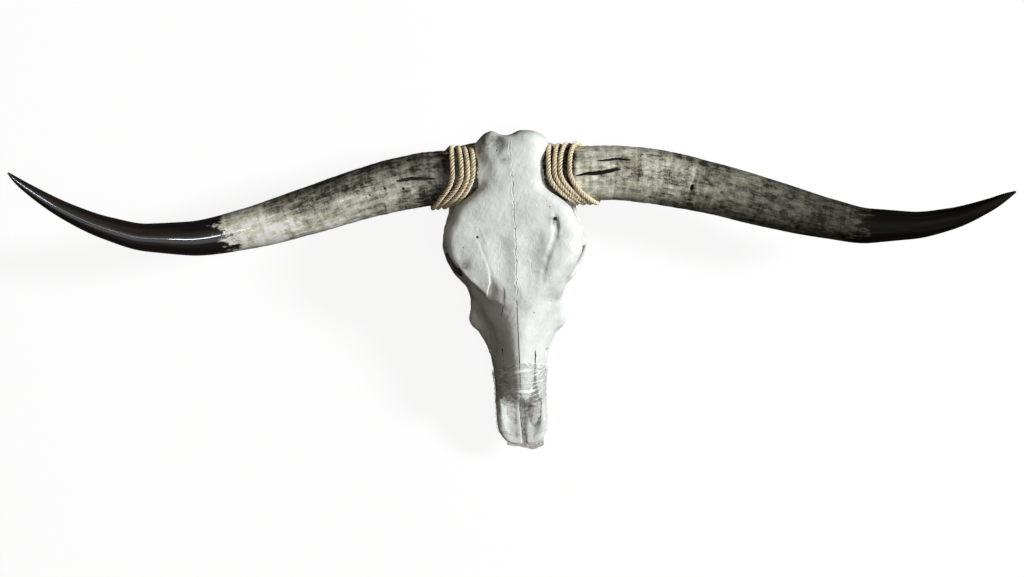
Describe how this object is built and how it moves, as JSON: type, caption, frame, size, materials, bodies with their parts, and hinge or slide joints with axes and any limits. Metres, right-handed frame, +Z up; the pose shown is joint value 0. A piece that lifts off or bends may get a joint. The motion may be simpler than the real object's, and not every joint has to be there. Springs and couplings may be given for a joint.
{
  "type": "longhorn steer skull",
  "caption": "Skull of a longhorn steer lying face up, with long curved horns, rope wound round the horn bases and clear film round the muzzle.",
  "frame": {"origin": "centre of the bounding box in plan, on the plane that the skull rests on", "axes": "+X to the animal's left, from horn tip to horn tip; +Y from the muzzle to the poll; +Z up, out of the forehead"},
  "size_m": [1.6331, 0.5429, 0.2274],
  "materials": {
    "bone": "chalky white bone, faintly rough",
    "horn": "mottled grey-brown horn, glossy black towards the tips",
    "rope": "laid straw-coloured plant fibre",
    "film": "clear wrinkled stretch film"
  },
  "bodies": {
    "root": {"cranium": "bone", "maxilla_left": "bone", "maxilla_right": "bone", "nasal_left": "bone", "nasal_right": "bone", "premaxilla_left": "bone", "premaxilla_right": "bone", "horn_left": "horn", "horn_right": "horn", "rope_left": "rope", "rope_right": "rope", "muzzle_film": "film"}
  },
  "joints": []
}
